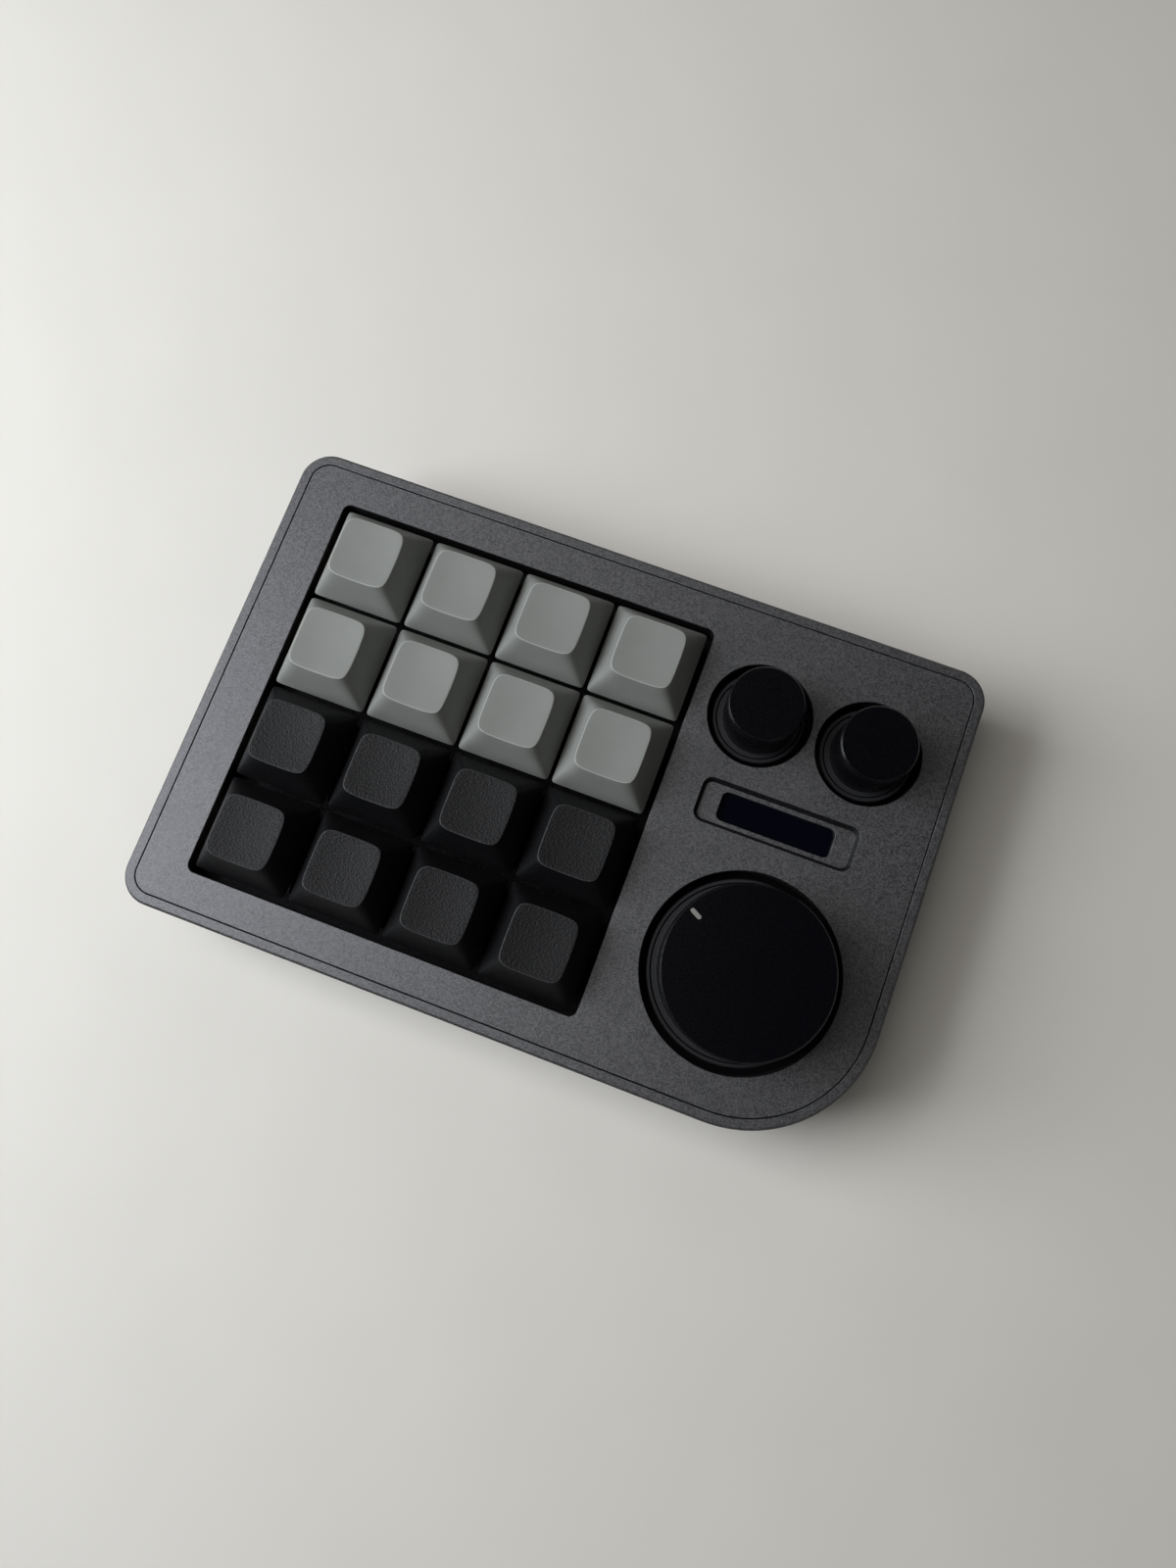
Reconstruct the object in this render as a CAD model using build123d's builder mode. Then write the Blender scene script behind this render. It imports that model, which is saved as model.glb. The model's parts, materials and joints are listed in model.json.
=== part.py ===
"""Desk macro keypad: four rows of sculpted keys, three push-and-turn knobs and a small display.

+X is to the right, +Y to the back and +Z up. The origin lies on the desk, under the middle of
the case. Every length is in millimetres.
"""

import os
from math import atan2, degrees

from build123d import *

os.makedirs("parts", exist_ok=True)

# Keys
key_pitch = 19.05
key_rows = 4
key_columns = 4
cap_base = 18.3  # width of a keycap at its lower edge
cap_top = 11.4  # width of its top before the edge is rounded
cap_height = 7.4
cap_wall = 1.3
cap_corner = 1.1  # round of a keycap's slanted corners
dish_radius = 52.0
dish_to_ceiling = 1.25  # least thickness under the dish
key_travel = 4.0
cap_sink = 0.2  # the caps' lower edges lie this far under the case top

# Key switches, measured from the top of the switch plate
inner_sides = 6  # round inner pieces that repeat sixteen times have this many sides
switch_body = 13.9
switch_cutout = 14.0
switch_flange = 15.6
switch_flange_height = 0.9
switch_depth = 5.0  # switch plate top to circuit board top
switch_height = 6.6
switch_roof = 1.0
switch_floor = 1.5
switch_wall = 1.2
switch_top_width = 10.8
switch_top_base = 14.2
guide_width = 7.4  # opening in the switch top for the stem
guide_depth = 6.1
guide_fit = 0.1
post_radius = 2.0
post_length = 3.3
post_bore_radius = 1.5
post_tip = 0.9
stem_pole_radius = 1.2
stem_block_height = 4.0
stem_shoulder_width = 8.8
stem_shoulder_depth = 7.4
stem_shoulder_height = 1.0
stem_play = 0.1
cross_length = 4.0
cross_thin = 1.1
cross_thick = 1.3
cross_height = 3.6
cross_fit = 0.03
cap_post_radius = 2.75
cap_post_gap = 0.05
spring_radius = 2.2
spring_thickness = 0.4
socket_width = 9.6
socket_length = 4.4
socket_height = 1.8
socket_offset = 4.9
led_width = 3.2
led_length = 2.6
led_height = 1.3
led_offset = 4.3
led_gap = 0.3

# Case
side_margin = 11.0  # case edge to the key opening, on the left
front_margin = 8.82  # case edge to the key opening, front and back
key_gap = 1.2  # keycaps to the edge of the opening
opening_corner = 1.5
corner_radius = 6.0
knob_corner_radius = 25.0  # the front right corner bends round the large knob
least_radius = 0.4
rim_width = 2.0  # the frame's visible rim
ledge_width = 1.6  # shelf of the frame that each plate lies on
seam = 0.15  # gap round each inset plate
seam_bevel = 0.1
rim_bevel = 0.45
foot_bevel = 0.6
top_plate_thickness = 3.0
bottom_plate_thickness = 2.0
switch_plate_thickness = 1.5
board_thickness = 1.6
board_margin = 0.5
cap_clearance = 6.1  # switch plate top to the keycaps' lower edges
under_board = 4.2  # room under the circuit board

# Bosses and screws
boss_sides = 8
boss_radius = 3.0
boss_pin_radius = 2.2
boss_gap = 0.3
boss_hole_gap = 0.3
plate_land = 0.8  # switch plate left round a boss hole
screw_radius = 1.25
tapped_fit = 0.02
screw_gap = 0.15
screw_head_radius = 2.3
screw_head_gap = 0.1
screw_grip = 5.0
hex_across = 1.5
hex_depth = 0.7

# Feet
foot_radius = 5.0
foot_height = 1.5
foot_edge_bevel = 0.4  # bevel of a foot's lower edge
foot_edge = 11.5  # case edge to a foot's edge, along X
foot_edge_y = 5.75

# Knobs
knob_flange = 1.85  # how far a knob's flange stands out from its wall
well_gap_small = 1.02
well_gap_large = 1.26
small_knob_radius = 7.1
large_knob_radius = 15.35
small_knob_height = 9.0  # above the case top
large_knob_height = 11.7
knob_skirt = 3.2  # part of a knob that sits in its well
flange_height = 1.4
flange_bevel = 0.25
flange_groove_width = 0.35
flange_groove_depth = 0.5
flange_outer_ring = 0.7
knob_rim_bevel = 0.3
knob_cavity_roof = 2.6
knob_cavity_wall = 2.0
knob_hub_radius = 6.0
well_bevel = 0.15
push_travel = 0.5
well_land_left = 3.4  # key opening to the left small well
well_land_between = 1.54
well_land_right = 7.85
well_land_back = 11.73
display_land = 4.23  # small wells to the display recess
large_well_land = 5.26  # display recess to the large well
large_well_edge = 8.7  # large well to the front and right edges of the case
mark_length = 2.4
mark_width = 0.85
mark_depth = 0.4
mark_radius = 13.3  # knob axis to the middle of the mark
mark_angle = 152.0

# Rotary encoders
encoder_width = 11.7
encoder_length = 12.0
encoder_height = 6.5
encoder_floor = 1.2
encoder_wall = 1.05
bushing_radius = 3.5
bushing_height = 4.5
shaft_radius = 3.0
shaft_flat = 1.5  # depth of the flat on a shaft
shaft_fit = 0.05
shaft_start = 1.9  # circuit board top to the end of a shaft
knob_bore_fit = 0.02
knob_bore_roof = 2.0
bushing_gap = 0.5
rotor_radius = 4.6
rotor_sides = 12
rotor_gap = 0.2
rotor_height = 2.0

# Display
recess_width = 30.8
recess_height = 8.8
recess_depth = 1.2
recess_slope = 30.0  # degrees from the vertical
recess_corner = 2.0
recess_right = 14.35  # case edge to the recess
window_width = 22.3
window_height = 5.7
window_corner = 1.3
window_sill = 1.0  # plate left under the recess, round the window
glass_width = 30.0
glass_height = 11.5
glass_thickness = 1.45
glass_fit = 0.2
module_width = 36.0
module_height = 12.0
module_thickness = 1.2
module_pins = 4
pin_pitch = 2.54
pin_width = 0.64
pin_edge = 1.6

# USB port and controller
usb_width = 8.94
usb_height = 3.26
usb_length = 7.35
usb_shell = 0.3
usb_corner = 1.2
usb_inset = 0.6  # case wall to the mouth of the port
usb_hole_gap = 0.25
tongue_width = 6.7
tongue_thickness = 0.7
tongue_reach = 4.6
tongue_base = 1.2
chip_width = 7.0
chip_height = 0.9

# Levels
case_bottom = foot_height
plate_bottom_top = case_bottom + bottom_plate_thickness
board_bottom = plate_bottom_top + under_board
board_top = board_bottom + board_thickness
switch_level = board_top + switch_depth
cap_level = switch_level + cap_clearance
case_top = cap_level + cap_sink
top_plate_bottom = case_top - top_plate_thickness
case_height = case_top - case_bottom

# Plan
key_block_width = (key_columns - 1) * key_pitch + cap_base
key_block_depth = (key_rows - 1) * key_pitch + cap_base
opening_width = key_block_width + 2 * key_gap
opening_depth = key_block_depth + 2 * key_gap
small_flange_radius = small_knob_radius + knob_flange
large_flange_radius = large_knob_radius + knob_flange
small_well_radius = small_flange_radius + well_gap_small
large_well_radius = large_flange_radius + well_gap_large
panel_width = well_land_left + well_land_between + well_land_right + 4 * small_well_radius
case_width = side_margin + opening_width + panel_width
panel_depth = (
    well_land_back + 2 * small_well_radius + display_land + recess_height
    + large_well_land + 2 * large_well_radius + large_well_edge
)
case_depth = max(opening_depth + 2 * front_margin, panel_depth)
case_left = -case_width / 2
case_right = case_width / 2
case_front = -case_depth / 2
case_back = case_depth / 2
key_x = case_left + side_margin + opening_width / 2
opening_right = key_x + opening_width / 2
inner_inset = rim_width + ledge_width
plate_inset = rim_width + seam

right_knob_x = case_right - well_land_right - small_well_radius
left_knob_x = right_knob_x - 2 * small_well_radius - well_land_between
small_knob_y = case_back - well_land_back - small_well_radius
large_knob_x = case_right - large_well_edge - large_well_radius
large_knob_y = case_front + large_well_edge + large_well_radius
display_x = case_right - recess_right - recess_width / 2
display_y = small_knob_y - small_well_radius - display_land - recess_height / 2

boss_left = case_left + inner_inset + boss_gap + boss_radius
boss_middle = opening_right + boss_gap + boss_radius
boss_right = case_right - inner_inset - boss_gap - boss_radius
boss_back = case_back - inner_inset - boss_gap - boss_radius
boss_side_y = display_y - module_height / 2 - 2 * boss_gap - boss_radius
plate_bosses = [(x, y) for x in (boss_left, boss_middle) for y in (-boss_back, boss_back)]
panel_bosses = [(boss_right, boss_back), (boss_right, boss_side_y)]
all_bosses = plate_bosses + panel_bosses

foot_x = case_right - foot_edge - foot_radius
foot_y = case_back - foot_edge_y - foot_radius


def finish(piece, name):
    """Label a finished piece and write it as its own STEP file."""
    piece.part.label = name
    export_step(piece.part, f"parts/{name}.step")


def outline(inset):
    """Plan of the case, drawn in by inset, with one large corner at the front right."""
    with BuildSketch() as plan:
        Rectangle(case_width - 2 * inset, case_depth - 2 * inset)
        front = plan.vertices().group_by(Axis.Y)[0].sort_by(Axis.X)
        back = plan.vertices().group_by(Axis.Y)[-1]
        fillet([front[0], *back], max(corner_radius - inset, least_radius))
        sharp = plan.vertices().group_by(Axis.Y)[0].sort_by(Axis.X)[-1]
        fillet(sharp, max(knob_corner_radius - inset, least_radius))
    return plan.sketch


def key_places():
    """Centres of the key switches, as a grid of locations."""
    return GridLocations(key_pitch, key_pitch, key_columns, key_rows)


def flatted(radius):
    """Round profile with one flat, of a knob shaft and of what fits it."""
    with BuildSketch() as profile:
        Circle(radius)
        with Locations((0, -radius)):
            flat = shaft_flat - shaft_radius + radius
            Rectangle(2 * radius, 2 * flat, mode=Mode.SUBTRACT)
    return profile.sketch


# ---------------------------------------------------------------- case frame
with BuildPart() as case_frame:
    with BuildSketch(Plane.XY.offset(case_bottom)):
        add(outline(0))
    extrude(amount=case_height)
    chamfer(case_frame.faces().sort_by(Axis.Z)[-1].edges(), rim_bevel)
    chamfer(case_frame.faces().sort_by(Axis.Z)[0].edges(), foot_bevel)
    with BuildSketch(Plane.XY.offset(case_bottom)):
        add(outline(inner_inset))
    extrude(amount=case_height, mode=Mode.SUBTRACT)
    with BuildSketch(Plane.XY.offset(case_top)):
        add(outline(rim_width))
    extrude(amount=-top_plate_thickness, mode=Mode.SUBTRACT)
    with BuildSketch(Plane.XY.offset(case_bottom)):
        add(outline(rim_width))
    extrude(amount=bottom_plate_thickness, mode=Mode.SUBTRACT)
    with BuildSketch(Plane.XZ.offset(-case_back)) as port:
        with Locations((key_x, board_bottom - usb_height / 2)):
            hole_width = usb_width + 2 * usb_hole_gap
            hole_height = usb_height + 2 * usb_hole_gap
            RectangleRounded(hole_width, hole_height, usb_corner + usb_hole_gap)
    extrude(amount=inner_inset, both=True, mode=Mode.SUBTRACT)
finish(case_frame, "case_frame")

# ---------------------------------------------------------------- top plate
with BuildPart() as top_plate:
    with BuildSketch(Plane.XY.offset(top_plate_bottom)):
        add(outline(plate_inset))
        with Locations((key_x, 0)):
            RectangleRounded(opening_width, opening_depth, opening_corner, mode=Mode.SUBTRACT)
        with Locations((left_knob_x, small_knob_y), (right_knob_x, small_knob_y)):
            Circle(small_well_radius, mode=Mode.SUBTRACT)
        with Locations((large_knob_x, large_knob_y)):
            Circle(large_well_radius, mode=Mode.SUBTRACT)
    extrude(amount=top_plate_thickness)
    rim = top_plate.faces().sort_by(Axis.Z)[-1]
    chamfer(rim.outer_wire().edges(), seam_bevel)
    opening_edges = top_plate.faces().sort_by(Axis.Z)[-1].inner_wires()
    chamfer([edge for wire in opening_edges for edge in wire.edges()], well_bevel)
    with BuildSketch(Plane.XY.offset(case_top)):
        with Locations((display_x, display_y)):
            RectangleRounded(recess_width, recess_height, recess_corner)
    extrude(amount=-recess_depth, taper=recess_slope, mode=Mode.SUBTRACT)
    with BuildSketch(Plane.XY.offset(case_top)):
        with Locations((display_x, display_y)):
            RectangleRounded(window_width, window_height, window_corner)
    extrude(amount=-top_plate_thickness, mode=Mode.SUBTRACT)
    with BuildSketch(Plane.XY.offset(top_plate_bottom)):
        with Locations((display_x, display_y)):
            Rectangle(glass_width + 2 * glass_fit, glass_height + 2 * glass_fit)
    pocket_depth = top_plate_thickness - recess_depth - window_sill
    extrude(amount=pocket_depth, mode=Mode.SUBTRACT)
    with BuildSketch(Plane.XY.offset(switch_level)):
        with Locations(all_bosses):
            RegularPolygon(boss_radius, boss_sides)
    extrude(amount=top_plate_bottom - switch_level)
    with BuildSketch(Plane.XY.offset(plate_bottom_top)):
        with Locations(all_bosses):
            RegularPolygon(boss_pin_radius, boss_sides)
    extrude(amount=switch_level - plate_bottom_top)
    with BuildSketch(Plane.XY.offset(plate_bottom_top)):
        with Locations(all_bosses):
            Circle(screw_radius + tapped_fit)
    extrude(amount=screw_grip + screw_gap, mode=Mode.SUBTRACT)
finish(top_plate, "top_plate")

# ---------------------------------------------------------------- bottom plate
with BuildPart() as bottom_plate:
    with BuildSketch(Plane.XY.offset(case_bottom)):
        add(outline(plate_inset))
    extrude(amount=bottom_plate_thickness)
    with Locations(*[Location((x, y, case_bottom), (180, 0, 0)) for x, y in all_bosses]):
        CounterSinkHole(
            radius=screw_radius + screw_gap,
            counter_sink_radius=screw_head_radius + screw_head_gap,
            depth=bottom_plate_thickness,
            counter_sink_angle=90,
        )
finish(bottom_plate, "bottom_plate")

# ---------------------------------------------------------------- screws and feet
with BuildPart() as case_screws:
    with Locations([(x, y, case_bottom) for x, y in all_bosses]):
        Cylinder(
            screw_radius,
            bottom_plate_thickness + screw_grip,
            align=(Align.CENTER, Align.CENTER, Align.MIN),
        )
        Cone(
            screw_head_radius,
            screw_radius,
            screw_head_radius - screw_radius,
            align=(Align.CENTER, Align.CENTER, Align.MIN),
        )
    with BuildSketch(Plane.XY.offset(case_bottom)):
        with Locations(all_bosses):
            RegularPolygon(hex_across / 2, 6, major_radius=False)
    extrude(amount=hex_depth, mode=Mode.SUBTRACT)
finish(case_screws, "case_screws")

with BuildPart() as rubber_feet:
    with BuildSketch():
        with GridLocations(2 * foot_x, 2 * foot_y, 2, 2):
            Circle(foot_radius)
    extrude(amount=foot_height)
    chamfer(rubber_feet.edges().group_by(Axis.Z)[0], foot_edge_bevel)
finish(rubber_feet, "rubber_feet")

# ---------------------------------------------------------------- switch plate
plate_left = case_left + inner_inset + board_margin
plate_right = boss_middle + boss_pin_radius + boss_hole_gap + plate_land
plate_back = case_back - inner_inset - board_margin
with BuildPart() as switch_plate:
    with BuildSketch(Plane.XY.offset(switch_level - switch_plate_thickness)):
        with Locations(((plate_left + plate_right) / 2, 0)):
            RectangleRounded(plate_right - plate_left, 2 * plate_back, opening_corner)
        with Locations((key_x, 0)), key_places():
            Rectangle(switch_cutout, switch_cutout, mode=Mode.SUBTRACT)
        with Locations(plate_bosses):
            RegularPolygon(boss_pin_radius + boss_hole_gap, boss_sides, mode=Mode.SUBTRACT)
    extrude(amount=switch_plate_thickness)
finish(switch_plate, "switch_plate")

# ---------------------------------------------------------------- circuit board and what it carries
with BuildPart() as main_board:
    with BuildSketch(Plane.XY.offset(board_bottom)):
        add(outline(inner_inset + board_margin))
        with Locations(all_bosses):
            RegularPolygon(boss_pin_radius + boss_hole_gap, boss_sides, mode=Mode.SUBTRACT)
        with Locations((key_x, 0)), key_places():
            RegularPolygon(post_radius + guide_fit, inner_sides, mode=Mode.SUBTRACT)
    extrude(amount=board_thickness)
finish(main_board, "main_board")

with BuildPart() as switch_sockets:
    with BuildSketch(Plane.XY.offset(board_bottom)):
        with Locations((key_x, socket_offset)), key_places():
            Rectangle(socket_width, socket_length)
    extrude(amount=-socket_height)
finish(switch_sockets, "switch_sockets")

with BuildPart() as key_leds:
    with BuildSketch(Plane.XY.offset(board_top)):
        with Locations((key_x, -led_offset)), key_places():
            Rectangle(led_width, led_length)
    extrude(amount=led_height)
finish(key_leds, "key_leds")

with BuildPart() as controller_chip:
    with BuildSketch(Plane.XY.offset(board_bottom)):
        with Locations((display_x, display_y)):
            Rectangle(chip_width, chip_width)
    extrude(amount=-chip_height)
finish(controller_chip, "controller_chip")

usb_level = board_bottom - usb_height / 2
usb_inner_width = usb_width - 2 * usb_shell
usb_inner_height = usb_height - 2 * usb_shell
mouth = case_back - usb_inset
with BuildPart() as usb_c_shell:
    with BuildSketch(Plane.XZ.offset(-mouth)):
        with Locations((key_x, usb_level)):
            RectangleRounded(usb_width, usb_height, usb_corner)
    extrude(amount=usb_length)
    with BuildSketch(Plane.XZ.offset(-mouth)):
        with Locations((key_x, usb_level)):
            RectangleRounded(usb_inner_width, usb_inner_height, usb_corner - usb_shell)
    extrude(amount=usb_length, mode=Mode.SUBTRACT)
finish(usb_c_shell, "usb_c_shell")

with BuildPart() as usb_c_tongue:
    with BuildSketch(Plane.XZ.offset(usb_length - mouth)):
        with Locations((key_x, usb_level)):
            RectangleRounded(usb_inner_width, usb_inner_height, usb_corner - usb_shell)
    extrude(amount=-tongue_base)
    with BuildSketch(Plane.XZ.offset(usb_length - mouth)):
        with Locations((key_x, usb_level)):
            Rectangle(tongue_width, tongue_thickness)
    extrude(amount=-(tongue_base + tongue_reach))
finish(usb_c_tongue, "usb_c_tongue")

# ---------------------------------------------------------------- key switches
post_end = switch_level - switch_depth - post_length
cavity_floor = switch_level - switch_depth + switch_floor
cavity_width = switch_body - 2 * switch_wall
with BuildPart() as switch_bases:
    with BuildSketch(Plane.XY.offset(board_top)):
        with Locations((key_x, 0)), key_places():
            Rectangle(switch_body, switch_body)
    extrude(amount=switch_depth)
    with BuildSketch(Plane.XY.offset(switch_level)):
        with Locations((key_x, 0)), key_places():
            Rectangle(switch_flange, switch_flange)
    extrude(amount=switch_flange_height)
    with BuildSketch(Plane.XY.offset(post_end)):
        with Locations((key_x, 0)), key_places():
            RegularPolygon(post_radius, inner_sides)
    extrude(amount=post_length)
    with BuildSketch(Plane.XY.offset(cavity_floor)):
        with Locations((key_x, 0)), key_places():
            Rectangle(cavity_width, cavity_width)
    extrude(amount=switch_level + switch_flange_height - cavity_floor, mode=Mode.SUBTRACT)
    with BuildSketch(Plane.XY.offset(post_end + post_tip)):
        with Locations((key_x, 0)), key_places():
            RegularPolygon(post_bore_radius, inner_sides)
    extrude(amount=cavity_floor - post_end, mode=Mode.SUBTRACT)
    with BuildSketch(Plane.XY.offset(board_top)):
        with Locations((key_x, -led_offset)), key_places():
            Rectangle(led_width + 2 * led_gap, led_length + 2 * led_gap)
    extrude(amount=switch_floor, mode=Mode.SUBTRACT)
finish(switch_bases, "switch_bases")

top_start = switch_level + switch_flange_height
top_end = switch_level + switch_height
roof_start = top_end - switch_roof
roof_width = switch_top_width - switch_wall
top_taper = atan2((switch_top_base - switch_top_width) / 2, top_end - top_start)
cavity_taper = atan2((cavity_width - roof_width) / 2, roof_start - top_start)
with BuildPart() as switch_top:
    with BuildSketch(Plane.XY.offset(top_start)):
        Rectangle(switch_top_base, switch_top_base)
    extrude(amount=top_end - top_start, taper=degrees(top_taper))
    with BuildSketch(Plane.XY.offset(top_start)):
        Rectangle(cavity_width, cavity_width)
    extrude(amount=roof_start - top_start, taper=degrees(cavity_taper), mode=Mode.SUBTRACT)
    with BuildSketch(Plane.XY.offset(top_end)):
        Rectangle(guide_width, guide_depth)
    extrude(amount=-2 * switch_roof, mode=Mode.SUBTRACT)

with BuildPart() as switch_tops:
    with Locations((key_x, 0, 0)), key_places():
        add(switch_top.part)
finish(switch_tops, "switch_tops")

block_bottom = top_end - stem_block_height
with BuildPart() as switch_springs:
    with BuildSketch(Plane.XY.offset(cavity_floor)):
        with Locations((key_x, 0)), key_places():
            RegularPolygon(spring_radius, inner_sides)
            RegularPolygon(spring_radius - spring_thickness, inner_sides, mode=Mode.SUBTRACT)
    extrude(amount=block_bottom - cavity_floor)
finish(switch_springs, "switch_springs")

# ---------------------------------------------------------------- moving stem and keycap of one key
pole_length = key_travel + stem_play
with BuildPart() as stem:
    with BuildSketch(Plane.XY.offset(block_bottom)):
        Rectangle(guide_width - 2 * guide_fit, guide_depth - 2 * guide_fit)
    extrude(amount=stem_block_height)
    with BuildSketch(Plane.XY.offset(roof_start - stem_play)):
        Rectangle(stem_shoulder_width, stem_shoulder_depth)
    extrude(amount=-stem_shoulder_height)
    with BuildSketch(Plane.XY.offset(top_end)):
        Rectangle(cross_length, cross_thin)
        Rectangle(cross_thick, cross_length)
    extrude(amount=cross_height)
    with BuildSketch(Plane.XY.offset(block_bottom)):
        RegularPolygon(stem_pole_radius, inner_sides)
    extrude(amount=-pole_length)

dish_rise = (dish_radius**2 - cap_top**2 / 2) ** 0.5  # dish centre above the corners of the top
ceiling = cap_height + dish_rise - dish_radius - dish_to_ceiling
cap_taper = atan2((cap_base - cap_top) / 2, cap_height)
with BuildPart() as keycap:
    with BuildSketch(Plane.XY.offset(cap_level)):
        Rectangle(cap_base, cap_base)
    extrude(amount=cap_height, taper=degrees(cap_taper))
    level_edges = keycap.edges().filter_by(Plane.XY)
    fillet(keycap.edges() - level_edges, cap_corner)
    with Locations((0, 0, cap_level + cap_height + dish_rise)):
        Sphere(dish_radius, rotation=(90, 0, 0), mode=Mode.SUBTRACT)
    with BuildSketch(Plane.XY.offset(cap_level)):
        Rectangle(cap_base - 2 * cap_wall, cap_base - 2 * cap_wall)
    extrude(amount=ceiling, taper=degrees(cap_taper), mode=Mode.SUBTRACT)
    with BuildSketch(Plane.XY.offset(top_end + cap_post_gap)):
        RegularPolygon(cap_post_radius, inner_sides)
        Rectangle(cross_length + 2 * cross_fit, cross_thin + 2 * cross_fit, mode=Mode.SUBTRACT)
        Rectangle(cross_thick + 2 * cross_fit, cross_length + 2 * cross_fit, mode=Mode.SUBTRACT)
    extrude(amount=cap_level + ceiling - top_end - cap_post_gap)

for row in range(key_rows):
    for column in range(key_columns):
        place = (
            key_x + (column - (key_columns - 1) / 2) * key_pitch,
            ((key_rows - 1) / 2 - row) * key_pitch,
            0,
        )
        for piece, kind in ((keycap, "keycap"), (stem, "switch_stem")):
            with BuildPart() as placed:
                with Locations(place):
                    add(piece.part)
            finish(placed, f"{kind}_r{row + 1}_c{column + 1}")

# ---------------------------------------------------------------- rotary encoders
small_knobs = {"left": (left_knob_x, small_knob_y), "right": (right_knob_x, small_knob_y)}
knob_places = {**small_knobs, "large": (large_knob_x, large_knob_y)}
encoder_top = board_top + encoder_height
bushing_top = encoder_top + bushing_height
rotor_bottom = board_top + encoder_floor + rotor_gap
rotor_room = encoder_width - 2 * encoder_wall
with BuildPart() as encoder_bodies:
    with BuildSketch(Plane.XY.offset(board_top)):
        with Locations(list(knob_places.values())):
            Rectangle(encoder_width, encoder_length)
    extrude(amount=encoder_height)
    with BuildSketch(Plane.XY.offset(encoder_top)):
        with Locations(list(knob_places.values())):
            Circle(bushing_radius)
    extrude(amount=bushing_height)
    with BuildSketch(Plane.XY.offset(rotor_bottom)):
        with Locations(list(knob_places.values())):
            Circle(shaft_radius + shaft_fit)
    extrude(amount=bushing_top - rotor_bottom, mode=Mode.SUBTRACT)
    with BuildSketch(Plane.XY.offset(board_top + encoder_floor)):
        with Locations(list(knob_places.values())):
            Rectangle(rotor_room, rotor_room)
    extrude(amount=rotor_height + 2 * rotor_gap, mode=Mode.SUBTRACT)
finish(encoder_bodies, "encoder_bodies")

shaft_bottom = board_top + shaft_start
shaft_top = case_top + small_knob_height - knob_bore_roof - push_travel / 2
rotor_top = rotor_bottom + rotor_height + rotor_gap + push_travel
flat_start = bushing_top + bushing_gap
with BuildPart() as shaft:
    with BuildSketch(Plane.XY.offset(shaft_bottom)):
        add(flatted(shaft_radius))
    extrude(amount=rotor_top - shaft_bottom)
    with BuildSketch(Plane.XY.offset(rotor_top)):
        Circle(shaft_radius)
    extrude(amount=flat_start - rotor_top)
    with BuildSketch(Plane.XY.offset(flat_start)):
        add(flatted(shaft_radius))
    extrude(amount=shaft_top - flat_start)

with BuildPart() as rotor:
    with BuildSketch(Plane.XY.offset(rotor_bottom)):
        RegularPolygon(rotor_radius, rotor_sides)
        add(flatted(shaft_radius + shaft_fit), mode=Mode.SUBTRACT)
    extrude(amount=rotor_height)

for side, (x, y) in knob_places.items():
    for piece, kind in ((shaft, "encoder_shaft"), (rotor, "encoder_rotor")):
        with BuildPart() as placed:
            with Locations((x, y, 0)):
                add(piece.part)
        finish(placed, f"{kind}_{side}")


# ---------------------------------------------------------------- knobs
knob_bottom = case_top - knob_skirt
flange_top = knob_bottom + flange_height
bushing_room = bushing_top + push_travel + bushing_gap


def knob_profile(radius, top):
    """Half section of a knob: bevelled rim, straight wall and a grooved flange in the well."""
    outer = radius + knob_flange
    groove = outer - flange_outer_ring
    with BuildSketch(Plane.XZ) as section:
        with BuildLine():
            Polyline(
                (0, knob_bottom),
                (outer, knob_bottom),
                (outer, flange_top - flange_bevel),
                (outer - flange_bevel, flange_top),
                (groove, flange_top),
                (groove - flange_groove_width / 2, flange_top - flange_groove_depth),
                (groove - flange_groove_width, flange_top),
                (radius, flange_top),
                (radius, top - knob_rim_bevel),
                (radius - knob_rim_bevel, top),
                (0, top),
                close=True,
            )
        make_face()
    return section.sketch


def knob_bore():
    """Room in a knob for the encoder's bushing, with the flatted bore for its shaft above."""
    with BuildPart() as room:
        with BuildSketch(Plane.XY.offset(knob_bottom)):
            Circle(bushing_radius + bushing_gap)
        extrude(amount=bushing_room - knob_bottom)
        with BuildSketch(Plane.XY.offset(knob_bottom)):
            add(flatted(shaft_radius + knob_bore_fit))
        extrude(amount=shaft_top + knob_bore_fit - knob_bottom)
    return room.part


with BuildPart() as small_knob:
    add(knob_profile(small_knob_radius, case_top + small_knob_height))
    revolve(axis=Axis.Z)
    add(knob_bore(), mode=Mode.SUBTRACT)

for side, (x, y) in small_knobs.items():
    with BuildPart() as placed:
        with Locations((x, y, 0)):
            add(small_knob.part)
    finish(placed, f"knob_{side}")

large_top = case_top + large_knob_height
with BuildPart() as large_knob:
    add(knob_profile(large_knob_radius, large_top))
    revolve(axis=Axis.Z)
    with BuildSketch(Plane.XY.offset(knob_bottom)):
        Circle(large_knob_radius - knob_cavity_wall)
        Circle(knob_hub_radius, mode=Mode.SUBTRACT)
    extrude(amount=large_top - knob_cavity_roof - knob_bottom, mode=Mode.SUBTRACT)
    add(knob_bore(), mode=Mode.SUBTRACT)
    with BuildSketch(Plane.XY.offset(large_top)):
        with PolarLocations(mark_radius, 1, start_angle=mark_angle):
            SlotOverall(mark_length, mark_width)
    extrude(amount=-mark_depth, mode=Mode.SUBTRACT)

with BuildPart() as knob_large:
    with Locations((large_knob_x, large_knob_y, 0)):
        add(large_knob.part)
finish(knob_large, "knob_large")

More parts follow.
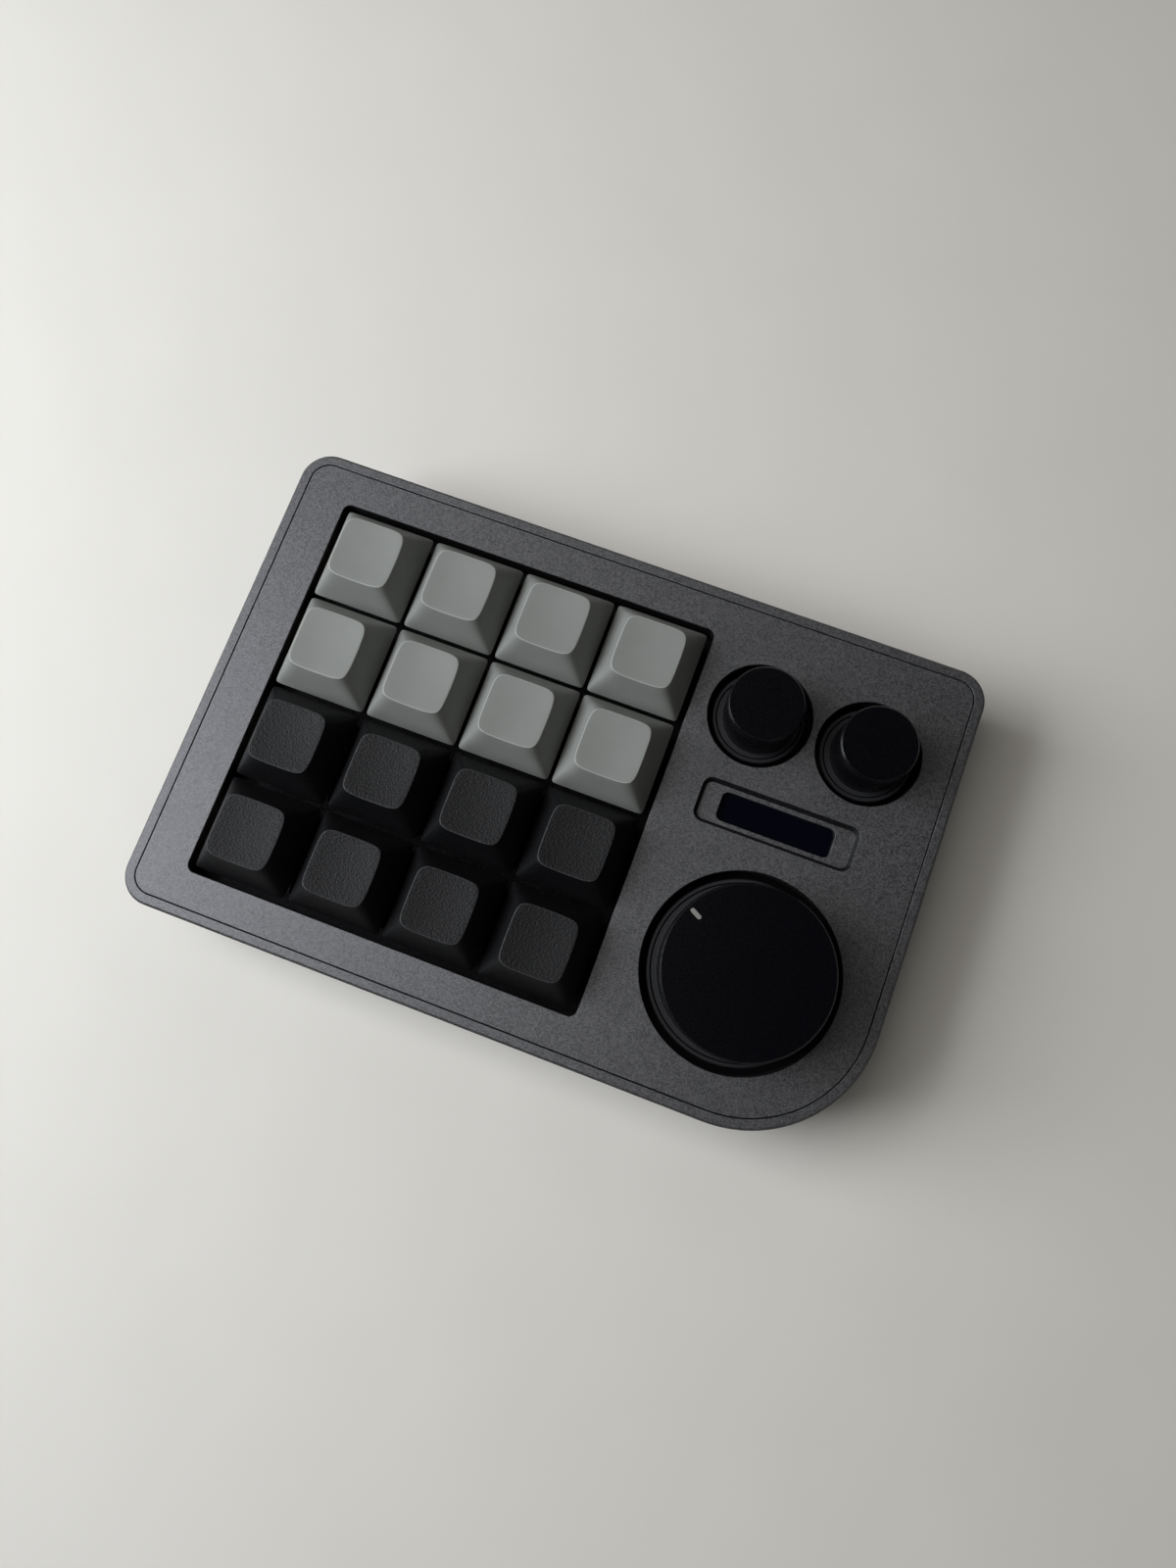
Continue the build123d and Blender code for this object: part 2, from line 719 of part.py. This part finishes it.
with BuildPart() as knob_mark:
    with BuildSketch(Plane.XY.offset(large_top)):
        with Locations((large_knob_x, large_knob_y)):
            with PolarLocations(mark_radius, 1, start_angle=mark_angle):
                SlotOverall(mark_length, mark_width)
    extrude(amount=-mark_depth)
finish(knob_mark, "knob_mark")

# ---------------------------------------------------------------- display
glass_top = case_top - recess_depth - window_sill
with BuildPart() as display_glass:
    with BuildSketch(Plane.XY.offset(glass_top)):
        with Locations((display_x, display_y)):
            Rectangle(glass_width, glass_height)
    extrude(amount=-glass_thickness)
finish(display_glass, "display_glass")

module_bottom = glass_top - glass_thickness - module_thickness
pin_x = display_x + module_width / 2 - pin_edge
with BuildPart() as display_board:
    with BuildSketch(Plane.XY.offset(module_bottom)):
        with Locations((display_x, display_y)):
            Rectangle(module_width, module_height)
    extrude(amount=module_thickness)
    with BuildSketch(Plane.XY.offset(board_top)):
        with Locations((pin_x, display_y)), GridLocations(pin_pitch, pin_pitch, 1, module_pins):
            Rectangle(pin_width, pin_width)
    extrude(amount=module_bottom - board_top)
finish(display_board, "display_board")
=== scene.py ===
"""Looks, light and camera of the desk macro keypad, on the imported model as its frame."""

import bmesh
import bpy
import json
from math import copysign, cos, pi, radians, sin
from mathutils import Matrix, Vector


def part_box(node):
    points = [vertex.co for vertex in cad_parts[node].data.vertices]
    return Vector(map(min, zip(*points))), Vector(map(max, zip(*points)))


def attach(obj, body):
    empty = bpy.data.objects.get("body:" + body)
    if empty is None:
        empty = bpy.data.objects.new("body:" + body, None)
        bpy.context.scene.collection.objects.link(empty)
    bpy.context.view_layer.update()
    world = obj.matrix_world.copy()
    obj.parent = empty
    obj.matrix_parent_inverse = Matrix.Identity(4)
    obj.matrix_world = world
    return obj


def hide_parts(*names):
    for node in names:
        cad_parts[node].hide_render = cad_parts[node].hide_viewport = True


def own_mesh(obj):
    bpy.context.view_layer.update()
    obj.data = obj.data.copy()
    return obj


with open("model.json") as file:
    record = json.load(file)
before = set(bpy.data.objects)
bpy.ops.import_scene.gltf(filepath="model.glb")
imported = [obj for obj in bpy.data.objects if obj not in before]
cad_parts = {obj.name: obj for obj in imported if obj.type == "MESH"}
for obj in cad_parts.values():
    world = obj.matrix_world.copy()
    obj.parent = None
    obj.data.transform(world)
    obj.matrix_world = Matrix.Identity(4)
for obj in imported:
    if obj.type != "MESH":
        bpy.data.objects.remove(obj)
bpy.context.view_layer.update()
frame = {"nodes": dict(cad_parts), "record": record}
scene = bpy.context.scene
nodes = frame["nodes"]
record = frame["record"]
MM = 0.001


# ---------------------------------------------------------------- node helpers
EASING_SAMPLES = 8
TINT_COSINES = (0.985, 0.85)  # turn of the eased normal where an edge's tint begins, and where it is full
WALL_COSINES = (0.92, 0.75)  # lean of a face that still counts as level, and of one that is a wall


def rgb(red, green, blue):
    """Display colour, 0 to 255 a channel, as the linear colour that a node takes."""
    def linear(value):
        value /= 255
        return value / 12.92 if value <= 0.04045 else ((value + 0.055) / 1.055) ** 2.4
    return (linear(red), linear(green), linear(blue), 1.0)


class Tree:
    """A material's node tree, with short calls for the nodes used here."""

    def __init__(self, name):
        self.material = bpy.data.materials.new(name)
        self.material.use_nodes = True
        self.nodes = self.material.node_tree.nodes
        self.links = self.material.node_tree.links
        self.shader = self.nodes["Principled BSDF"]
        self.position = self.nodes.new("ShaderNodeTexCoord").outputs["Object"]

    def put(self, socket, value):
        """Give a socket a link where value is a node's output, and otherwise a value."""
        if isinstance(value, bpy.types.NodeSocket):
            self.links.new(value, socket)
        else:
            socket.default_value = value

    def set(self, **values):
        """Set the shader's inputs. An underscore in a name stands for a space."""
        for name, value in values.items():
            self.put(self.shader.inputs[name.replace("_", " ")], value)

    def noise(self, size, detail=2.0, rough=0.5):
        """Noise whose features are about size metres."""
        node = self.nodes.new("ShaderNodeTexNoise")
        self.put(node.inputs["Vector"], self.position)
        node.inputs["Scale"].default_value = 1 / size
        node.inputs["Detail"].default_value = detail
        node.inputs["Roughness"].default_value = rough
        return node.outputs["Fac"]

    def cells(self, size):
        """A colour of its own for each cell of about size metres."""
        node = self.nodes.new("ShaderNodeTexVoronoi")
        self.put(node.inputs["Vector"], self.position)
        node.inputs["Scale"].default_value = 1 / size
        return node.outputs["Color"]

    def span(self, value, low, high, start=0.0, end=1.0):
        """value, taken from start..end to low..high."""
        node = self.nodes.new("ShaderNodeMapRange")
        self.put(node.inputs["Value"], value)
        node.inputs["From Min"].default_value = start
        node.inputs["From Max"].default_value = end
        node.inputs["To Min"].default_value = low
        node.inputs["To Max"].default_value = high
        return node.outputs["Result"]

    def math(self, operation, first, second=0.0, third=0.0):
        node = self.nodes.new("ShaderNodeMath")
        node.operation = operation
        for socket, value in zip(node.inputs, (first, second, third)):
            self.put(socket, value)
        return node.outputs["Value"]

    def mix(self, factor, first, second, blend="MIX"):
        node = self.nodes.new("ShaderNodeMix")
        node.data_type = "RGBA"
        node.blend_type = blend
        colours = [socket for socket in node.inputs if socket.type == "RGBA"]
        self.put(node.inputs["Factor"], factor)
        self.put(colours[0], first)
        self.put(colours[1], second)
        return next(socket for socket in node.outputs if socket.type == "RGBA")

    def bump(self, height, depth, strength, normal=None):
        """The normal of a relief of depth metres, which lies on top of another where one is given."""
        node = self.nodes.new("ShaderNodeBump")
        self.put(node.inputs["Height"], height)
        node.inputs["Distance"].default_value = depth
        self.put(node.inputs["Strength"], strength)
        if normal:
            self.put(node.inputs["Normal"], normal)
        return node.outputs["Normal"]

    def eased(self, radius):
        """The normal with every edge eased by radius metres, as a tumbled or moulded edge is."""
        node = self.nodes.new("ShaderNodeBevel")
        node.samples = EASING_SAMPLES
        node.inputs["Radius"].default_value = radius
        return node.outputs["Normal"]

    def tint_share(self, eased):
        """Share of an edge's tint, from how far its eased normal turns from the true one."""
        node = self.nodes.new("ShaderNodeVectorMath")
        node.operation = "DOT_PRODUCT"
        self.put(node.inputs[0], eased)
        self.put(node.inputs[1], self.nodes.new("ShaderNodeNewGeometry").outputs["Normal"])
        return self.span(node.outputs["Value"], 0, 1, *TINT_COSINES)

    def steep(self):
        """1 on walls and 0 on level faces, by the mesh's own normal."""
        facing = self.nodes.new("ShaderNodeTexCoord").outputs["Normal"]
        return self.span(self.math("ABSOLUTE", self.axis("Z", facing)), 0, 1, *WALL_COSINES)

    def axis(self, letter, vector=None):
        """One component of a vector, and of the position where none is given."""
        node = self.nodes.new("ShaderNodeSeparateXYZ")
        self.put(node.inputs["Vector"], vector or self.position)
        return node.outputs[letter]

    def attribute(self, name):
        """A number that the mesh itself carries. It is 0 where the mesh has none of that name."""
        node = self.nodes.new("ShaderNodeAttribute")
        node.attribute_name = name
        return node.outputs["Fac"]


# ---------------------------------------------------------------- materials
NOISE_CORE = (0.3, 0.7)  # nearly all of a noise lies between these
METAL_EASE = 0.18 * MM  # radius of the eased edges of case and plates
FINE_EASE = 0.12 * MM  # and of plastic and knobs
BLACK = (0, 0, 0, 1)
WHITE = (1, 1, 1, 1)
PITCH_BLACK = (0.002, 0.002, 0.003, 1)
# colour of the painted highlight on the knobs' edges and flange
HIGHLIGHT_BLACK = rgb(60, 60, 63)
RING_HIGHLIGHT = 0.4  # painted highlight on a knob's flange, as a share of the full one on its edges


def anodised(name, colour, dark, grain=0.22 * MM, wall=1.0):
    """Bead-blasted and anodised aluminium: fine grain in colour, gloss and relief. wall is how light its
    milled walls are drawn, as painted shade, as a share of its level faces."""
    tree = Tree(name)
    fine = tree.noise(grain, detail=3, rough=0.7)
    sparkle = tree.axis("X", tree.cells(1.1 * grain))
    pits = tree.math("MULTIPLY_ADD", sparkle, 0.65, tree.math("MULTIPLY", fine, 0.35))
    shade = tree.mix(tree.span(pits, 0, 1, 0.2, 0.8), dark, colour)
    tone_and_wall_shade = tree.span(tree.noise(14 * MM, detail=3), 0.94, 1.04)
    # painted shade: steep walls are drawn darker, by the share wall
    tone_and_wall_shade = tree.math("MULTIPLY", tone_and_wall_shade, tree.span(tree.steep(), 1.0, wall))
    shade = tree.mix(1.0, shade, tree.mix(tone_and_wall_shade, BLACK, WHITE), blend="MULTIPLY")
    relief = tree.bump(fine, 0.05 * MM, 0.9, tree.eased(METAL_EASE))
    tree.set(
        Base_Color=shade,
        Metallic=1.0,
        Roughness=tree.span(pits, 0.5, 0.62, *NOISE_CORE),
        Normal=relief,
    )
    return tree.material


def moulded(
    name,
    colour,
    tone,
    roughness,
    grain=0.16 * MM,
    depth=0.006 * MM,
    gloss=0.5,
    patch=6 * MM,
    painted_edge_highlight=None,
    rim=None,
):
    """Moulded plastic with a fine spark-eroded grain, which is fainter on steep sides. gloss is the
    shader's specular level and patch the size of the patches in which the two colours take turns.
    painted_edge_highlight is the colour of a painted highlight along the edges, where the mesh has that
    attribute, and rim the colour that the eased edges are darkened to."""
    tree = Tree(name)
    fine = tree.noise(grain, detail=2, rough=0.6)
    broad = tree.noise(patch, detail=2)
    eased = tree.eased(FINE_EASE)
    shade = tree.mix(tree.span(broad, 0, 1, *NOISE_CORE), colour, tone)
    if painted_edge_highlight:
        # painted highlight: the edge to the dish is drawn paler, where the mesh marks it
        shade = tree.mix(tree.attribute("painted_edge_highlight"), shade, painted_edge_highlight)
    if rim:
        # the eased edges are darkened to the colour rim
        shade = tree.mix(tree.tint_share(eased), shade, rim)
    tree.set(
        Base_Color=shade,
        Roughness=tree.span(fine, roughness - 0.06, roughness + 0.06, *NOISE_CORE),
        Normal=tree.bump(fine, depth, tree.span(tree.steep(), 0.8, 0.1), eased),
    )
    tree.shader.inputs["Specular IOR Level"].default_value = gloss
    return tree.material


def turned(name, colour, roughness, ring):
    """Black anodised knob, turned and lightly blasted, with its edges broken and a painted highlight along
    them. ring is the height of its flange's upper face, which gets a painted highlight too."""
    tree = Tree(name)
    fine = tree.noise(0.25 * MM, detail=3, rough=0.6)
    eased = tree.eased(FINE_EASE)
    height = tree.axis("Z")
    # painted highlight in a band at the flange's upper face
    above = tree.span(height, 0, RING_HIGHLIGHT, ring - 0.3 * MM, ring - 0.1 * MM)
    below = tree.span(height, 1, 0, ring + 0.02 * MM, ring + 0.1 * MM)
    tint_share = tree.math("MAXIMUM", tree.tint_share(eased), tree.math("MULTIPLY", above, below))
    shade = tree.mix(tree.span(fine, 0, 1, *NOISE_CORE), colour, PITCH_BLACK)
    gloss = tree.span(fine, roughness - 0.05, roughness + 0.05, *NOISE_CORE)
    tree.set(
        # painted highlight on the edges and the flange
        Base_Color=tree.mix(tint_share, shade, HIGHLIGHT_BLACK),
        Metallic=0.0,
        Roughness=tree.math("MULTIPLY_ADD", tint_share, 0.4, gloss),
        Normal=tree.bump(fine, 0.004 * MM, 0.3, eased),
    )
    tree.shader.inputs["Specular IOR Level"].default_value = 0.22
    return tree.material


def plated(name, colour, roughness):
    """Plated or bare metal, a little tarnished in patches."""
    tree = Tree(name)
    fine = tree.noise(0.5 * MM, detail=3, rough=0.6)
    tarnish = tree.span(tree.noise(2.2 * MM, detail=3), 0, 0.4, 0.4, 0.7)
    tree.set(
        Base_Color=tree.mix(tarnish, colour, rgb(64, 60, 54)),
        Metallic=1.0,
        Roughness=tree.span(fine, roughness - 0.08, roughness + 0.12, *NOISE_CORE),
        Normal=tree.bump(fine, 0.01 * MM, 0.3),
    )
    return tree.material


def glass(name):
    """Black glass over a display that is off, with faint smears."""
    tree = Tree(name)
    smear = tree.noise(4 * MM, detail=4, rough=0.6)
    tree.set(
        Base_Color=tree.mix(tree.span(smear, 0, 1), rgb(2, 3, 10), rgb(5, 6, 16)),
        Roughness=tree.span(smear, 0.05, 0.12),
        Coat_Weight=0.4,
    )
    tree.shader.inputs["Coat Roughness"].default_value = 0.05
    return tree.material


def clear(name):
    """The hazy, slightly yellow plastic of the switches' clear upper halves."""
    tree = Tree(name)
    haze = tree.noise(1.5 * MM, detail=2)
    tree.set(
        Base_Color=tree.mix(tree.span(haze, 0, 1), rgb(196, 186, 160), rgb(170, 158, 128)),
        Roughness=tree.span(haze, 0.14, 0.26),
    )
    return tree.material


CASE_GREY = rgb(111, 111, 113)
CASE_PITS = rgb(78, 78, 80)
KNOB_FLANGE_TOP = 18.8 * MM
surfaces = {
    "case_metal": anodised("case_metal", CASE_GREY, CASE_PITS),
    # the last colour of cap_grey and of cap_black is that of the painted highlight along the dish edge
    "cap_grey": moulded("cap_grey", rgb(121, 123, 119), rgb(117, 119, 115), 0.62, painted_edge_highlight=rgb(156, 158, 154)),
    "cap_black": moulded(
        "cap_black",
        rgb(13, 13, 15),
        rgb(1, 1, 2),
        0.55,
        grain=0.42 * MM,
        depth=0.16 * MM,
        gloss=0.24,
        patch=0.36 * MM,
        painted_edge_highlight=rgb(58, 58, 61),
    ),
    "stem_plastic": moulded("stem_plastic", rgb(120, 70, 40), rgb(110, 64, 36), 0.4),
    "switch_plastic": moulded("switch_plastic", rgb(26, 26, 28), rgb(22, 22, 24), 0.45),
    "switch_clear": clear("switch_clear"),
    "spring_steel": plated("spring_steel", rgb(190, 186, 176), 0.3),
    "led_white": moulded("led_white", rgb(226, 226, 218), rgb(214, 214, 204), 0.35),
    "plate_black": anodised("plate_black", rgb(40, 40, 42), rgb(24, 24, 26)),
    "board_black": moulded("board_black", rgb(20, 24, 22), rgb(16, 20, 18), 0.35),
    "display_glass": glass("display_glass"),
    "port_steel": plated("port_steel", rgb(186, 186, 184), 0.32),
    "encoder_steel": plated("encoder_steel", rgb(176, 176, 172), 0.36),
    "shaft_aluminium": plated("shaft_aluminium", rgb(190, 190, 192), 0.34),
    "knob_black": turned("knob_black", rgb(4, 4, 8), 0.26, KNOB_FLANGE_TOP),
    "mark_white": moulded("mark_white", rgb(124, 121, 116), rgb(116, 113, 108), 0.6, rim=rgb(30, 30, 31)),
    "screw_steel": plated("screw_steel", rgb(70, 70, 72), 0.34),
    "foot_rubber": moulded(
        "foot_rubber", rgb(30, 30, 31), rgb(24, 24, 25), 0.75, grain=0.3 * MM, depth=0.02 * MM
    ),
}
# the top plate's milled walls carry painted shade, drawn at 0.35 of the lightness of its level faces
own_surfaces = {"top_plate": anodised("top_plate_metal_shaded_walls", CASE_GREY, CASE_PITS, wall=0.35)}
for subpart in record["subparts"]:
    mesh = nodes[subpart["node"]].data
    mesh.materials.clear()
    mesh.materials.append(own_surfaces.get(subpart["node"], surfaces[subpart["material_slot"]]))

# ---------------------------------------------------------------- keycaps
# The solids have one small round down each corner. The real corners are sharp at the foot and wide
# at the top, with sides that bow a little and a rounded edge to the dish. These caps keep the inside
# of each solid and get that outside. Their sections are squares with the power of a superellipse.
CAP_BASE = 18.3 * MM
CAP_TOP = 11.8 * MM
CAP_HEIGHT = 7.4 * MM
DISH_RADIUS = 52.0 * MM
DISH_EDGE = 0.22 * MM
FOOT_POWER = 30.0
TOP_POWER = 6.2
CORNER_POINTS = 20
CORNER_CROWDING = 1.5
RIM_REACH_SQUARED = 65.0 * MM**2  # where the dish is CAP_HEIGHT high, from the cap's middle
EDGE_ROUNDS = 8  # which is enough for the height of the edge to settle
UP_STEPS = (0, 0.2, 0.4, 0.6, 0.8, 1)
OVER_STEPS = (0.2, 0.4, 0.6, 0.8, 1)
ACROSS_STEPS = (0.85, 0.65, 0.45, 0.25, 0.1)
EDGE_HIGHLIGHT_STEPS = {7: 0.3, 8: 1.0, 9: 0.3}  # share of the painted highlight at these steps of the profile, over the edge
UPWARD = 0.2
DOWNWARD = -0.9
SAME_POINT = 0.001 * MM
SAME_LEVEL = 0.01 * MM
dish_rise = (DISH_RADIUS**2 - RIM_REACH_SQUARED) ** 0.5


def dish(reach):
    """Height of the dish at that distance from the cap's middle."""
    return CAP_HEIGHT + dish_rise - (DISH_RADIUS**2 - reach**2) ** 0.5


def wall(turn, share):
    """Distance of the cap's wall from its middle, at that share of its height."""
    power = 1 / (1 / FOOT_POWER + (1 / TOP_POWER - 1 / FOOT_POWER) * share)
    half = CAP_BASE / 2 + (CAP_TOP - CAP_BASE) / 2 * share
    return half * (abs(cos(turn)) ** power + abs(sin(turn)) ** power) ** (-1 / power)


def profile(turn):
    """(distance, height) up the wall, over the edge and into the dish, in one direction."""
    share = 1.0
    for _ in range(EDGE_ROUNDS):
        share = dish(wall(turn, share)) / CAP_HEIGHT
    edge = Vector((wall(turn, share), share * CAP_HEIGHT))
    last = share - DISH_EDGE / CAP_HEIGHT
    up = [Vector((wall(turn, last * step), last * step * CAP_HEIGHT)) for step in UP_STEPS]
    inner = edge.x - DISH_EDGE
    over = []
    for step in OVER_STEPS:
        below, after = up[-1].lerp(edge, step), edge.lerp(Vector((inner, dish(inner))), step)
        over.append(below.lerp(after, step))
    across = [Vector((inner * step, dish(inner * step))) for step in ACROSS_STEPS]
    return up + over + across


def directions():
    """The directions of a cap's points, which crowd towards its four corners."""
    turns = []
    for quarter in range(4):
        for step in range(CORNER_POINTS):
            lean = 2 * step / CORNER_POINTS - 1
            turns.append(radians(90 * quarter + 45 + 45 * copysign(abs(lean) ** CORNER_CROWDING, lean)))
    return turns


def neighbours(items):
    """Each item with the next one, round a closed ring."""
    return list(zip(items, items[1:] + items[:1]))


def is_outside(face, foot_level):
    """Whether a solid's face is a slanted side, the dish or the foot. Its inside isn't."""
    if face.normal.z < DOWNWARD:
        return face.calc_center_median().z < foot_level + SAME_LEVEL
    return face.normal.z > UPWARD


def add_piece(shape, name, material):
    """A new object of the scene from a finished shape."""
    bmesh.ops.recalc_face_normals(shape, faces=shape.faces)
    mesh = bpy.data.meshes.new(name)
    shape.to_mesh(mesh)
    shape.free()
    mesh.materials.append(material)
    made = bpy.data.objects.new(name, mesh)
    scene.collection.objects.link(made)
    return made


def keycap(node, name):
    """The cap that stands for one keycap node."""
    low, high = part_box(node.name)
    middle = Vector(((low[0] + high[0]) / 2, (low[1] + high[1]) / 2, low[2]))
    shape = bmesh.new()
    shape.from_mesh(node.data)
    bmesh.ops.remove_doubles(shape, verts=shape.verts, dist=SAME_POINT)
    outside = [face for face in shape.faces if is_outside(face, low[2])]
    bmesh.ops.delete(shape, geom=outside, context="FACES")
    for face in shape.faces:
        face.smooth = False
    rim = [
        edge
        for edge in shape.edges
        if edge.is_boundary and all(vertex.co.z < low[2] + SAME_LEVEL for vertex in edge.verts)
    ]
    painted_edge_highlight = shape.verts.layers.float.new("painted_edge_highlight")
    columns = []
    for turn in directions():
        column = []
        for level, (reach, height) in enumerate(profile(turn)):
            column.append(shape.verts.new(middle + Vector((cos(turn) * reach, sin(turn) * reach, height))))
            # marks the steps over the dish edge that get the painted highlight
            column[-1][painted_edge_highlight] = EDGE_HIGHLIGHT_STEPS.get(level, 0.0)
        columns.append(column)
    centre = shape.verts.new(middle + Vector((0, 0, dish(0))))
    for here, beside in neighbours(columns):
        for level in range(len(here) - 1):
            shape.faces.new((here[level], beside[level], beside[level + 1], here[level + 1])).smooth = True
        shape.faces.new((here[-1], beside[-1], centre)).smooth = True
    foot = [shape.edges.get((here[0], beside[0])) for here, beside in neighbours(columns)]
    bmesh.ops.triangle_fill(shape, use_beauty=True, edges=foot + rim, normal=(0, 0, -1))
    return add_piece(shape, name, node.data.materials[0])


for subpart in record["subparts"]:
    node = nodes[subpart["node"]]
    if not node.name.startswith("keycap_"):
        continue
    place = node.name.removeprefix("keycap_")
    cap = keycap(node, f"dished_cap_{place}")
    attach(cap, f"key_{place}")
    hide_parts(node.name)

# ---------------------------------------------------------------- springs
# The solids have plain tubes for the coil springs. These are the coils, one under each key, with
# closed ends.
COIL_RADIUS = 1.78 * MM
COIL_TURNS = 7
TURN_STEPS = 18
WIRE_RADIUS = 0.14 * MM
WIRE_SIDES = 6
COIL_GAP = 0.02 * MM


def coil(name, foot, height):
    """A compression spring that stands on foot, whose first and last turns lie flat."""
    shape = bmesh.new()
    closed = 2 * WIRE_RADIUS
    open_pitch = (height - 2 * WIRE_RADIUS - 2 * closed) / (COIL_TURNS - 2)
    rings = []
    for step in range(COIL_TURNS * TURN_STEPS + 1):
        turns = step / TURN_STEPS
        opened = min(max(turns - 1, 0), COIL_TURNS - 2)
        climb = WIRE_RADIUS + opened * open_pitch + (turns - opened) * closed
        outward = Vector((cos(2 * pi * turns), sin(2 * pi * turns), 0))
        middle = foot + outward * COIL_RADIUS + Vector((0, 0, climb))
        ring = []
        for side in range(WIRE_SIDES):
            around = 2 * pi * side / WIRE_SIDES
            reach = outward * cos(around) + Vector((0, 0, sin(around)))
            ring.append(shape.verts.new(middle + reach * WIRE_RADIUS))
        rings.append(ring)
    for here, after in zip(rings, rings[1:]):
        for side in range(WIRE_SIDES):
            beside = (side + 1) % WIRE_SIDES
            shape.faces.new((here[side], here[beside], after[beside], after[side])).smooth = True
    shape.faces.new(rings[0])
    shape.faces.new(rings[-1])
    return add_piece(shape, name, surfaces["spring_steel"])


spring_foot, spring_head = (corner[2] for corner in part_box("switch_springs"))
coil_height = spring_head - spring_foot - COIL_GAP
for name in sorted(nodes):
    if not name.startswith("switch_stem_"):
        continue
    place = name.removeprefix("switch_stem_")
    low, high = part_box(name)
    foot = Vector(((low[0] + high[0]) / 2, (low[1] + high[1]) / 2, spring_foot))
    spring = coil(f"coil_spring_{place}", foot, coil_height)
    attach(spring, "case")
    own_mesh(spring)
    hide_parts("switch_springs")

# ---------------------------------------------------------------- floor and light
# The room is dim, and only the eye sees its far wall pale. The far floor glows pale for the eye alone,
# painted light that fades it into that wall.
PALE = (1.0, 0.99, 0.97, 1)
PALE_LEVEL = 0.5
DIM_LEVEL = 0.012
FADE_START = 0.35
FADE_END = 1.3
FLOOR_REACH = 1.6
floor_mesh = bpy.data.meshes.new("floor")
corners = [(x * FLOOR_REACH, y * FLOOR_REACH, 0) for x, y in ((-1, -1), (1, -1), (1, 1), (-1, 1))]
floor_mesh.from_pydata(corners, [], [(0, 1, 2, 3)])
floor = bpy.data.objects.new("floor", floor_mesh)
scene.collection.objects.link(floor)
ground = Tree("floor")
mottle = ground.noise(30 * MM, detail=3)
distance = ground.nodes.new("ShaderNodeVectorMath")
distance.operation = "LENGTH"
ground.put(distance.inputs[0], ground.position)
far = ground.span(distance.outputs["Value"], 0, PALE_LEVEL, FADE_START, FADE_END)
seen = ground.nodes.new("ShaderNodeLightPath").outputs["Is Camera Ray"]
ground.set(
    Base_Color=ground.mix(mottle, rgb(207, 204, 197), rgb(213, 210, 203)),
    Roughness=0.8,
    Emission_Color=PALE,
    # painted light: the floor glows more with distance, for camera rays only
    Emission_Strength=ground.math("MULTIPLY", far, seen),
)
floor_mesh.materials.append(ground.material)


def soft_light(name, place, width, height, power, colour):
    """A rectangular light at place that faces the origin."""
    lamp = bpy.data.lights.new(name, "AREA")
    lamp.shape = "RECTANGLE"
    lamp.size = width
    lamp.size_y = height
    lamp.energy = power
    lamp.color = colour
    holder = bpy.data.objects.new(name, lamp)
    holder.location = place
    holder.rotation_euler = (-Vector(place)).to_track_quat("-Z", "Y").to_euler()
    scene.collection.objects.link(holder)


soft_light("window", (-0.46, -0.11, 0.355), 0.4, 0.42, 4.2, (0.95, 0.99, 1.05))
soft_light("ceiling", (-0.27, -0.01, 0.56), 0.36, 0.4, 1.15, (1.02, 1.0, 0.96))
soft_light("room", (0.42, -0.36, 0.36), 0.4, 0.4, 0.28, (1.03, 1.0, 0.94))
soft_light("back wall", (0.10, 0.48, 0.40), 0.4, 0.4, 0.28, (1.0, 1.0, 0.98))

world = bpy.data.worlds.new("studio")
world.use_nodes = True
air = world.node_tree
seen = air.nodes.new("ShaderNodeLightPath").outputs["Is Camera Ray"]
level = air.nodes.new("ShaderNodeMapRange")
level.inputs["To Min"].default_value = DIM_LEVEL
level.inputs["To Max"].default_value = PALE_LEVEL
air.links.new(seen, level.inputs["Value"])
air.links.new(level.outputs["Result"], air.nodes["Background"].inputs["Strength"])
air.nodes["Background"].inputs["Color"].default_value = PALE
scene.world = world
scene.view_settings.view_transform = "Standard"

# ---------------------------------------------------------------- camera
# The view is nearly straight down. The lens is given in pixels of the 1200 by 1600 frame, and the
# perspective of the keys and wells gave its length and its place.
FRAME_HEIGHT = 1600
LENS_IN_PIXELS = 1069.65
eye = Vector((21.884, -28.911, 215.161)) * MM
target = Vector((5.35, 2.39, 20.6)) * MM
roll = radians(20.47)
backward = (eye - target).normalized()
up_hint = Vector((-sin(roll), cos(roll), 0))
right = up_hint.cross(backward).normalized()
upward = backward.cross(right)
lens = bpy.data.cameras.new("camera")
lens.sensor_fit = "VERTICAL"
lens.sensor_height = 24
lens.lens = LENS_IN_PIXELS / FRAME_HEIGHT * lens.sensor_height
lens.clip_start = 0.01
camera = bpy.data.objects.new("camera", lens)
camera.matrix_world = Matrix((right, upward, backward)).transposed().to_4x4()
camera.location = eye
scene.collection.objects.link(camera)
scene.camera = camera

# ---------------------------------------------------------------- update
bpy.context.view_layer.update()
